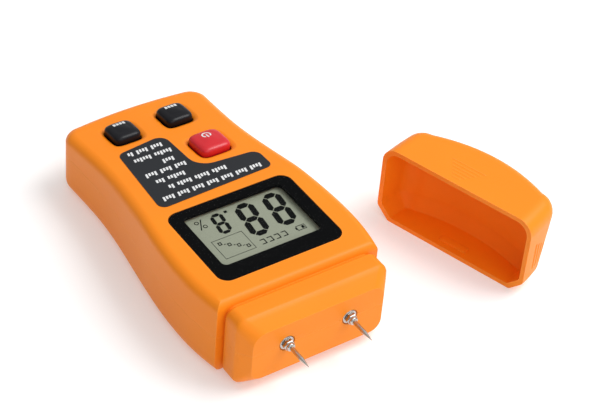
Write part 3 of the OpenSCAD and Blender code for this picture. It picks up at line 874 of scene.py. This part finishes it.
def printed(name, shapes, place, target, lift=0.035):
    """Thin print on a curved surface: each outline point is dropped onto the target along -Z."""
    tree = BVHTree.FromObject(target, bpy.context.evaluated_depsgraph_get())
    down = (place.to_3x3() @ Vector((0, 0, -1))).normalized()
    points, faces = [], []
    for shape in shapes:
        start, n = len(points), len(shape)
        for x, y in shape:
            above = place @ Vector((x, y, 8))
            hit = tree.ray_cast(above * MM, down)[0] / MM
            points.append(hit - down * lift)
        for x, y in shape:
            points.append(points[len(points) - n] + down * 2 * lift)
        faces.append(tuple(range(start, start + n)))
        faces += [(start + i, start + (i + 1) % n, start + n + (i + 1) % n, start + n + i) for i in range(n)]
    return mesh_object(name, points, faces)


def bar(x0, y0, x1, y1, lean=0.0):
    return [(x0 + lean * y0, y0), (x1 + lean * y0, y0), (x1 + lean * y1, y1), (x0 + lean * y1, y1)]


def arc_strip(cx, cy, r0, r1, a0, a1, steps):
    """Short quads along a ring from angle a0 to a1, in degrees."""
    quads = []
    for k in range(steps):
        a, b = (math.radians(a0 + (a1 - a0) * m / steps) for m in (k, k + 1))
        ends = ((r0, a), (r1, a), (r1, b), (r0, b))
        quads.append([(cx + r * math.cos(t), cy + r * math.sin(t)) for r, t in ends])
    return quads


FOUR_BARS = [bar(x, -3.3, x + 0.85, -1.9) for x in (-2.3, -1.15, 0.0, 1.15)]
SYMBOLS = {
    "power": arc_strip(0, -1.9, 1.15, 1.65, 125, 415, 18) + [bar(-0.26, -2.1, 0.26, -0.2)],
    "mode": FOUR_BARS,
    "hold": FOUR_BARS,
}
for name, key in KEYS.items():
    pillow = smooth_all(key_shape(name + "_key", key))
    symbol = printed(name + "_symbol", SYMBOLS[name], on_face(key["at"]), pillow)
    finish_piece(pillow, name + "_key", key["finish"], [name + "_button"])
    finish_piece(symbol, name + "_key", PRINT)
    print(name, "key: foot", round(2 * key["half"], 1), "mm wide")

# %% [markdown]
# ## The sticker
# The sticker is thin printed film. Its outline has corners of different radii, convex and hollow, so one
# helper replaces each corner of a plain outline with an arc. The list of woods that the real sticker carries
# is wording, so rows of plain slanted ticks stand for it.

# %% Sticker
def rounded_outline(corners_r):
    """Outline from (x, y, radius) corners, each one replaced by an arc that touches both of its sides."""
    outline = []
    n = len(corners_r)
    for k in range(n):
        here = Vector(corners_r[k][:2])
        before = (Vector(corners_r[k - 1][:2]) - here).normalized()
        after = (Vector(corners_r[(k + 1) % n][:2]) - here).normalized()
        r = corners_r[k][2]
        half = before.angle(after) / 2
        centre = here + (before + after).normalized() * (r / math.sin(half))
        first = here + before * (r / math.tan(half)) - centre
        last = here + after * (r / math.tan(half)) - centre
        turn = math.atan2(first.x * last.y - first.y * last.x, first.dot(last))
        for i in range(9):
            spot = centre + Matrix.Rotation(turn * i / 8, 2) @ first
            outline.append((spot.x, spot.y))
    return outline


FILM_T = 0.15


def film(name, outline, lift, thick):
    n = len(outline)
    points = [(x, y, face_z(y) + z) for z in (lift, lift + thick) for x, y in outline]
    faces = [(i, (i + 1) % n, (i + 1) % n + n, i + n) for i in range(n)]
    faces += [tuple(range(n)), tuple(range(n, 2 * n))]
    return mesh_object(name, points, faces)


STICKER_CORNERS = [
    (-21.4, 4.4, 2.4), (21.3, 5.9, 2.6), (17.6, -27.5, 2.8),
    (-0.6, -29.8, 3.6), (-0.6, -7.8, 6.5), (-21.8, -5.7, 3.2),
]
sticker = film("sticker_film", rounded_outline(STICKER_CORNERS), 0.0, FILM_T)
finish_piece(sticker, "meter", STICKER, ["species_label"])

ROWS = [
    (1.8, -18.6, 19.4), (-3.0, -8.4, 13.0), (-7.4, 4.4, 15.6), (-12.0, 1.2, 17.2),
    (-16.5, 3.0, 8.0), (-21.1, 1.2, 16.0), (-25.4, 2.2, 14.8),
]
TICK, TICK_GAP, TALL, LOW, LEAN = 0.72, 0.36, 2.2, 1.55, 0.2


def tick_row(y, x0, x1, word):
    """Slanted ticks in groups, from x0 to x1; every group starts with a tall one."""
    ticks, x, k = [], x0, 0
    while x + TICK <= x1:
        place = k % (word + 1)
        if place < word:
            high = TALL if place in (0, 3) else LOW
            upright = ((x, 0), (x + TICK, 0), (x + TICK, high), (x, high))
            ticks.append([(u + LEAN * v, y + v) for u, v in upright])
        x += TICK + TICK_GAP
        k += 1
    return ticks


def film_set(name, shapes, lift, thick):
    return joined(name, [film("mark", shape, lift, thick) for shape in shapes])


ticks = [t for k, (y, x0, x1) in enumerate(ROWS) for t in tick_row(y - 1.0, x0, x1, 4 + k % 3)]
finish_piece(film_set("sticker_ticks", ticks, FILM_T - 0.02, 0.05), "meter", PRINT)
print("sticker ticks:", len(ticks))

# %% [markdown]
# ## The display
# The display is a grey-green glass with dark segments. A seven-segment digit is drawn from seven strokes
# with pointed ends, leaning a few degrees, so a single stroke helper makes all three digits. Small marks
# stand for the battery warning and the mode box.

# %% Display marks
glass_top = corners("lcd_panel")[1].z
MARKS_X, MARKS_Y = lens_mid.x - 1.45, lens_mid.y - 1.95


def stroke(x0, y0, x1, y1, thick, gap):
    """A segment between two points, with pointed ends."""
    a, b = Vector((x0, y0)), Vector((x1, y1))
    along = (b - a).normalized()
    side = Vector((-along.y, along.x)) * thick / 2
    a, b = a + along * gap, b - along * gap
    tip = along * thick / 2
    return [tuple(p) for p in (a, a + tip + side, b - tip + side, b, b - tip - side, a + tip - side)]


def seven_segments(cx, cy, w, h, thick, lean):
    hw, hh = (w - thick) / 2, (h - thick) / 2
    ends = [
        (-hw, hh, hw, hh), (-hw, 0, hw, 0), (-hw, -hh, hw, -hh),
        (-hw, 0, -hw, hh), (hw, 0, hw, hh), (-hw, -hh, -hw, 0), (hw, -hh, hw, 0),
    ]
    shapes = [stroke(*e, thick, 0.09 * thick) for e in ends]
    return [[(cx + x + lean * y, cy + y) for x, y in shape] for shape in shapes]


def outline_box(x0, y0, x1, y1, t):
    sides = ((x0, y0, x1, y0 + t), (x0, y1 - t, x1, y1), (x0, y0, x0 + t, y1), (x1 - t, y0, x1, y1))
    return [bar(*side) for side in sides]


DIGIT_LEAN = 0.11
marks = seven_segments(-11.1, -3.3, 6.9, 15.7, 2.1, DIGIT_LEAN)
marks += seven_segments(-0.9, -3.3, 6.9, 15.7, 2.1, DIGIT_LEAN)
marks += seven_segments(8.7, -6.2, 4.5, 9.6, 1.3, DIGIT_LEAN)
marks.append(bar(4.0, -10.8, 5.1, -9.8))
marks += arc_strip(13.7, -7.4, 0.5, 0.78, 0, 360, 14) + arc_strip(15.4, -9.9, 0.5, 0.78, 0, 360, 14)
marks.append([(13.2, -10.9), (13.6, -10.9), (15.9, -6.3), (15.5, -6.3)])
marks += outline_box(-13.9, 6.3, -10.7, 8.5, 0.22)
marks += [bar(-10.7, 6.9, -10.3, 7.9), bar(-13.4, 6.8, -12.5, 8.0)]
marks += [bar(x, 6.2, x + 1.7, 6.55) for x in (-7.0, -4.4, -1.8, 0.8)]
marks += [bar(x, 8.15, x + 1.7, 8.5) for x in (-7.0, -4.4, -1.8, 0.8)]
marks += [bar(x, 6.2, x + 0.35, 8.5) for x in (-7.0, -4.4, -1.8, 0.8)]
marks += outline_box(5.0, -0.2, 16.1, 8.7, 0.16)
for k in range(4):
    left, low = 6.0 + 2.5 * k, 5.9 - 1.6 * k
    marks += outline_box(left, low, left + 1.2, low + 1.4, 0.3)
    if k < 3:
        marks.append(bar(left + 1.5, low - 0.2, left + 2.1, low + 0.1))


def flat_set(name, shapes, z, thick):
    moved = [[(x + MARKS_X, y + MARKS_Y) for x, y in shape] for shape in shapes]
    return joined(name, [prism("mark", shape, z, z + thick) for shape in moved])


rim_outline = rounded_rect(LENS_HALF[0] - 0.1, LENS_HALF[1] - 0.1, WINDOW_R)
rim = prism("window_rim", rim_outline, border_low.z, lens_high.z - 0.07, (0, lens_mid.y))
view = prism("view", rounded_rect(*VIEW_HALF, VIEW_R), border_low.z - 1, lens_high.z + 1, (0, VIEW_MID))
finish_piece(combine(rim, [view], "DIFFERENCE"), "meter", BORDER, ["window_border"])
finish_piece(flat_set("display_marks", marks, glass_top, 0.04), "meter", INK)
print("display marks:", len(marks))

# %% [markdown]
# ## The needles
# Needle, nut and ferrule are turned parts, so each is a profile spun round its axis. The needle has a long
# ground point. The nut is the same spin with only six steps, with its corners softened by a small bevel.

# %% Needles and nuts
def needle(side, node):
    low, high = corners(node)
    tip = high.y
    straight = tip - 4.2
    point = straight + 0.15
    profile = [(1.2, low.y), (1.2, tip - 10.0), (0.75, tip - 9.3), (0.75, straight - 0.2), (0.74, point)]
    profile += [(0.74 * (1 - t) + 0.05 * t, point + 4.0 * t) for t in (0.12, 0.3, 0.5, 0.7, 0.85, 0.96)]
    profile += [(0.03, tip)]
    shape = soften(lathe("needle_" + side, profile, (middle(node).x, 0, SPLIT_Z)), 0.04, 25)
    return finish_piece(shape, "meter", NEEDLE, [node])


def nut(side, node):
    low, high = corners(node)
    x = middle(node).x
    r = (high.z - low.z) / 2
    step = high.y - 1.0
    centre = (x, 0, SPLIT_Z)
    six_sided = [(r * 0.9, low.y), (r, low.y + 0.3), (r, step - 0.35), (r * 0.84, step)]
    dome = [(1.46, -0.3), (1.46, 0.4), (1.38, 0.7), (1.15, 0.92), (0.8, 1.0)]
    flat_ring = [(2.35, -0.05), (2.5, 0.1), (2.5, 0.4), (2.3, 0.55)]
    hexagon = lathe("hexagon", six_sided, centre, steps=6)
    ferrule = lathe("ferrule", [(radius, step + y) for radius, y in dome], centre, steps=32)
    washer = lathe("washer", [(radius, low.y + y) for radius, y in flat_ring], centre)
    shape = soften(joined("nut_" + side, [hexagon, ferrule, washer]), 0.1, 28)
    return finish_piece(shape, "meter", NICKEL, [node])


for side in ("left", "right"):
    needle(side, "pin_" + side)
    nut(side, "pin_collar_" + side)
print("needles stand out", round(corners("pin_left")[1].y - NECK_Y, 1), "mm")

# %% [markdown]
# ## The cap
# The cap is a hollow box: a flat mouth, sides that lean in a little, a bowed closed end whose foot leans
# inwards, a chamfer below and a wide round above. It is made in its own coordinates with the mouth at y = 0,
# and then turned to where it lies. The turn is the range of the joint that swings it, so it is read from the
# record.

# %% Cap
CAP_HALF, CAP_H, CAP_DEPTH, CAP_WALL = 29.3, corners("pin_cap")[1].z, 24.0, 1.6
CAP_TAPER, CAP_R, CAP_SAG, CAP_LEAN = 0.6, 7.0, 4.8, 9.0
CAP_MOUTH = (-67.0, 42.8)
CAP_TURN = next(j["range_deg"][1] for j in frame["joints"] if j["name"] == "cap_swing")
cap_place = Matrix.Translation((*CAP_MOUTH, 0)) @ Matrix.Rotation(math.radians(CAP_TURN), 4, "Z")


def cap_half(half, depth, y):
    return half - CAP_TAPER * (max(0.0, y) / (depth - CAP_R - CAP_SAG)) ** 2


def cap_plan(half, depth, d, y0):
    corner_y = depth - CAP_R - CAP_SAG
    corner_x = half - CAP_TAPER - CAP_R
    ys = [y0 + (corner_y - y0) * i / 10 for i in range(11)]
    side = [(cap_half(half, depth, y) - d, y) for y in ys]
    arc = [math.radians(90 * i / 10) for i in range(1, 11)]
    side += [(corner_x + (CAP_R - d) * math.cos(a), corner_y + (CAP_R - d) * math.sin(a)) for a in arc]
    for i in range(1, 9):
        x = corner_x * (1 - i / 8.5)
        side.append((x, depth - CAP_SAG - d + CAP_SAG * (1 - (x / corner_x) ** 2)))
    return both_sides(side)


def cap_ring(plan, z):
    """Points of a ring, drawn in by the lean of the closed end."""
    k = 1 - CAP_LEAN / CAP_DEPTH * (1 - z / CAP_H)
    return [(x, y * k, z) for x, y in plan]


def cap_solid(name, half, depth, low, high, chamfer, top_r, y0):
    soft = [(0.0, 1.06), (0.03, 0.98), (0.12, 0.87), (0.5, 0.49), (0.88, 0.11), (1.0, 0.03), (1.2, 0.0)]
    rings = [cap_ring(cap_plan(half, depth, chamfer * d, y0), low + chamfer * z) for z, d in soft]
    for k in range(9, -1, -1):
        a = math.radians(90 * k / 9)
        d = top_r * (1 - math.sin(a))
        rings.append(cap_ring(cap_plan(half, depth, d, y0), high - top_r * (1 - math.cos(a))))
    return loft(name, rings, cap_place)


def side_groove(side, index):
    y = 4.9 + 1.8 * index
    x = side * (cap_half(CAP_HALF, CAP_DEPTH, y) + 0.25)
    z0, z1, r = 8.0, 19.0 - index, 0.66
    ends = [(r * math.sin(math.radians(t)), z0 + r - r * math.cos(math.radians(t))) for t in (8, 30, 55, 90)]
    ends += [(r * math.cos(math.radians(t)), z1 - r + r * math.sin(math.radians(t))) for t in (0, 35, 60, 82)]
    groove = lathe("groove", ends, (x, y, 0), "Z", 16)
    groove.data.transform(Matrix.Scale(MM, 4) @ cap_place @ Matrix.Scale(1 / MM, 4))
    return groove


cap = cap_solid("cap_shell", CAP_HALF, CAP_DEPTH, 0.0, CAP_H, 4.8, 5.6, 0.0)
inner_half, inner_depth, inner_top = (size - CAP_WALL for size in (CAP_HALF, CAP_DEPTH, CAP_H))
inside = cap_solid("inside", inner_half, inner_depth, CAP_WALL, inner_top, 4.2, 4.6, -2.0)
grooves = joined("grooves", [side_groove(side, i) for side in (-1, 1) for i in range(4)])
combine(cap, [inside, grooves], "DIFFERENCE")
finish_piece(soften(cap, 0.3, 40, 3), "cap", ORANGE, ["pin_cap"])
# Faces that look into the hollow take the copy of the orange with painted shade.
cap.data.materials.append(CAP_INSIDE_PAINTED_SHADE)
hollow_mid = cap_place @ Vector((0, CAP_DEPTH / 3, CAP_H / 2))
from_cap = cap_place.inverted()
for face in cap.data.polygons:
    centre = face.center / MM
    if face.normal.dot(hollow_mid - centre) > 0 and (from_cap @ centre).y > 0.2:
        face.material_index = 1


def cap_box(name, low, high):
    shape = box_object(name, low, high)
    shape.data.transform(Matrix.Scale(MM, 4) @ cap_place @ Matrix.Scale(1 / MM, 4))
    return shape


# The catch sits inside the cap, so it takes the same painted shade.
catch = cap_box("cap_catch", (-5.2, 2.4, CAP_WALL - 0.3), (5.2, 5.2, CAP_WALL + 0.45))
finish_piece(soften(catch, 0.3), "cap", CAP_INSIDE_PAINTED_SHADE)
ridges = []
for i in range(6):
    near = 2.4 + 1.5 * i
    ridges.append(cap_box("ridge", (-4.1 - i, near, CAP_H - 0.3), (-0.9 + i, near + 0.5, CAP_H + 0.10)))
finish_piece(soften(joined("cap_ridges", ridges), 0.12), "cap", ORANGE)
print("cap:", len(cap.data.polygons), "faces, turned", CAP_TURN, "degrees")

# %% [markdown]
# ## What the engineering model already shows well
# The boards, the sockets, the battery and the small switches have their right shapes in the frame. They get
# a finish and a fine bevel, since no real edge is perfectly sharp.

# %% Finishes of the kept nodes
KEPT = {
    "display_lens": (WINDOW, 0.15), "lcd_panel": (GLASS, 0.15),
    "lcd_frame": (HIDDEN_WHITE, 0.2), "zebra_strips": (SOFT_STRIP, 0.2), "main_board": (BOARD, 0.08),
    "button_board": (BOARD, 0.08), "board_ribbon": (HIDDEN_WHITE, 0.05),
    "controller_chip": (HIDDEN_BLACK, 0.15),
    "tact_switches": (ZINC, 0.15), "power_plunger": (HIDDEN_BLACK, 0.1), "mode_plunger": (HIDDEN_BLACK, 0.1),
    "hold_plunger": (HIDDEN_BLACK, 0.1), "socket_left": (BRASS, 0.1), "socket_right": (BRASS, 0.1),
    "battery": (BATTERY_WRAP, 0.8), "battery_snap": (HIDDEN_BLACK, 0.3), "battery_leads": (WIRE, 0.0),
    "pin_leads": (WIRE, 0.0), "battery_pad": (FOAM, 0.05), "board_screws": (ZINC, 0.1),
}
for node, (material, width) in KEPT.items():
    obj = frame["nodes"][node]
    obj.data.materials.clear()
    obj.data.materials.append(material)
    if width:
        soften(obj, width)
print("kept nodes:", len(KEPT))

# %% [markdown]
# ## Floor, light and camera
# The meter lies on a plain white surface that glows faintly, as on a lit table. A large soft lamp and a
# weaker one light it, with pale light from all round that is darker on one side. The camera looks down from
# the needle end, from far away with a long lens, as for a catalogue picture.

# %% Floor
def build_floor_material():
    material, nodes, link, shader = new_material("pale_floor")
    mottle = use_group(nodes, MOTTLE, Scale=3.0, Contrast=0.6)
    mix = two_colours(nodes, link, mottle.outputs["Mask"], (0.77, 0.77, 0.77), (0.79, 0.79, 0.79))
    link(mix.outputs["Result"], shader.inputs["Base Color"])
    shader.inputs["Emission Color"].default_value = (1, 1, 1, 1)
    shader.inputs["Emission Strength"].default_value = 0.28
    shader.inputs["Roughness"].default_value = 0.7
    shader.inputs["Specular IOR Level"].default_value = 0.2
    return material


HALF_FLOOR = 6000
FLOOR_Z = -0.02
floor_outline = [(x, y, FLOOR_Z) for x, y in rounded_rect(HALF_FLOOR, HALF_FLOOR, 500)]
floor = mesh_object("floor", floor_outline, [tuple(range(len(floor_outline)))])
floor.data.materials.append(build_floor_material())

# %% Light
scene = bpy.context.scene
world = bpy.data.worlds.new("studio")
scene.world = world
world.use_nodes = True
background = world.node_tree.nodes["Background"]
sky_coords = world.node_tree.nodes.new("ShaderNodeTexCoord")
sky_side = world.node_tree.nodes.new("ShaderNodeVectorMath")
sky_side.operation = "DOT_PRODUCT"
sky_side.inputs[1].default_value = (-0.45, 0.10, 0.90)
sky_ramp = world.node_tree.nodes.new("ShaderNodeMapRange")
sky_ramp.inputs["From Min"].default_value = -0.3
sky_ramp.inputs["From Max"].default_value = 0.9
sky_ramp.inputs["To Min"].default_value = 0.30
sky_ramp.inputs["To Max"].default_value = 1.05
world.node_tree.links.new(sky_coords.outputs["Generated"], sky_side.inputs[0])
world.node_tree.links.new(sky_side.outputs["Value"], sky_ramp.inputs["Value"])
world.node_tree.links.new(sky_ramp.outputs["Result"], background.inputs["Color"])
background.inputs["Strength"].default_value = 0.66


def soft_lamp(name, at, size, power):
    lamp = bpy.data.lights.new(name, "AREA")
    lamp.size = size
    lamp.energy = power
    obj = bpy.data.objects.new(name, lamp)
    obj.location = at
    obj.rotation_mode = "QUATERNION"
    obj.rotation_quaternion = (Vector((-0.02, 0.02, 0.0)) - Vector(at)).to_track_quat("-Z", "Y")
    scene.collection.objects.link(obj)
    return obj


soft_lamp("key_lamp", (-0.75, 0.35, 1.25), 0.9, 16.0)
soft_lamp("fill_lamp", (0.15, 1.2, 0.9), 1.0, 3.5)
print("lamps: 2")

# %% Camera
CAMERA_AT = (0.2729, 0.4086, 0.4358)
CAMERA_BACK = Vector((0.4606, 0.6067, 0.6479)).normalized()
CAMERA_RIGHT = Vector((-0.8296, 0.5539, 0.0711)).normalized()
lens = bpy.data.cameras.new("camera")
lens.lens = 120.25
lens.sensor_width = 36.0
lens.clip_start = 0.05
lens.clip_end = 50.0
camera = bpy.data.objects.new("camera", lens)
camera_up = CAMERA_BACK.cross(CAMERA_RIGHT).normalized()
turned = Matrix((CAMERA_RIGHT, camera_up, CAMERA_BACK)).transposed()
camera.matrix_world = Matrix.Translation(CAMERA_AT) @ turned.to_4x4()
scene.collection.objects.link(camera)
scene.camera = camera
scene.view_settings.view_transform = "Standard"
print("camera", [round(v, 3) for v in camera.location])
